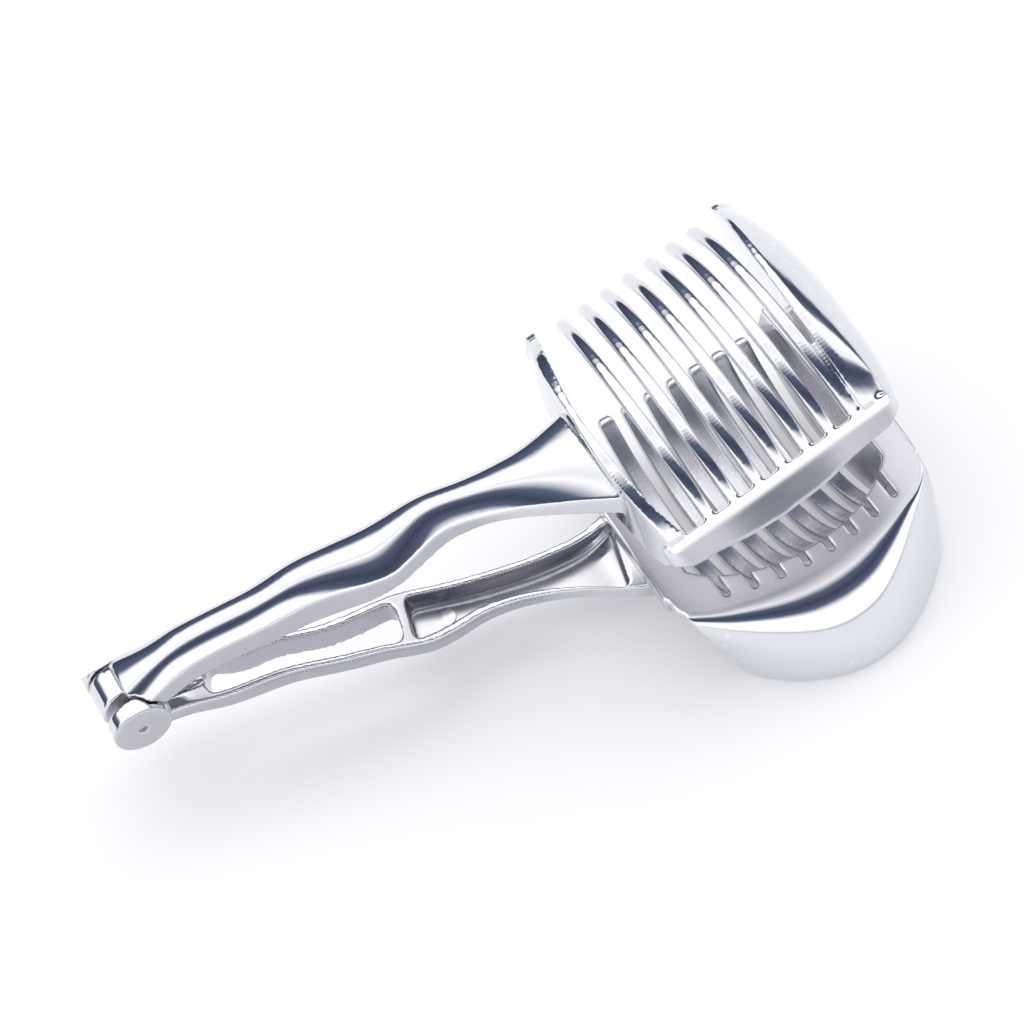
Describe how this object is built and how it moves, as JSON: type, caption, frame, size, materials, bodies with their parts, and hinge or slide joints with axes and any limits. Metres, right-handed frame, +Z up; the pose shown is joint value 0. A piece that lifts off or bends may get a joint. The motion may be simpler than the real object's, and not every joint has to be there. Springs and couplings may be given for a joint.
{
  "type": "hand-held slicing tongs",
  "caption": "Two-handled cast aluminium slicing tongs with a curved comb upper jaw and a slotted bowl lower jaw, hinged at the tail and sprung open.",
  "frame": {"origin": "centre of the footprint, at the height of the lowest point, the foot of the lower jaw's skirt", "axes": "+X from the hinge towards the jaws, +Z up, away from the flange, +Y towards the open side of the comb"},
  "size_m": [0.2108, 0.0995, 0.0812],
  "materials": {
    "polished_casting": "polished",
    "satin_casting": "satin",
    "pin_steel": "plain",
    "spring_steel": "drawn wire"
  },
  "bodies": {
    "lower": {"lower_handle": "polished_casting", "lower_jaw": "satin_casting", "bowl_rib_1": "polished_casting", "bowl_rib_2": "polished_casting", "bowl_rib_3": "polished_casting", "bowl_rib_4": "polished_casting", "bowl_rib_5": "polished_casting", "bowl_rib_6": "polished_casting", "bowl_rib_7": "polished_casting", "hinge_pin": "pin_steel", "hinge_washer": "pin_steel", "torsion_spring": "spring_steel"},
    "upper": {"upper_handle": "polished_casting", "upper_frame": "polished_casting", "tine_1": "polished_casting", "tine_2": "polished_casting", "tine_3": "polished_casting", "tine_4": "polished_casting", "tine_5": "polished_casting", "tine_6": "polished_casting", "tine_7": "polished_casting"}
  },
  "joints": [
    {"name": "jaw_hinge", "type": "hinge", "parent": "lower", "child": "upper", "pos_m": [-0.09765, 0.03355, 0.032], "axis": [0, -1, 0], "range_deg": [-8.9, 55], "stiffness_Nm_per_rad": 1, "springref_deg": 7.62, "deforming": ["torsion_spring"]}
  ]
}
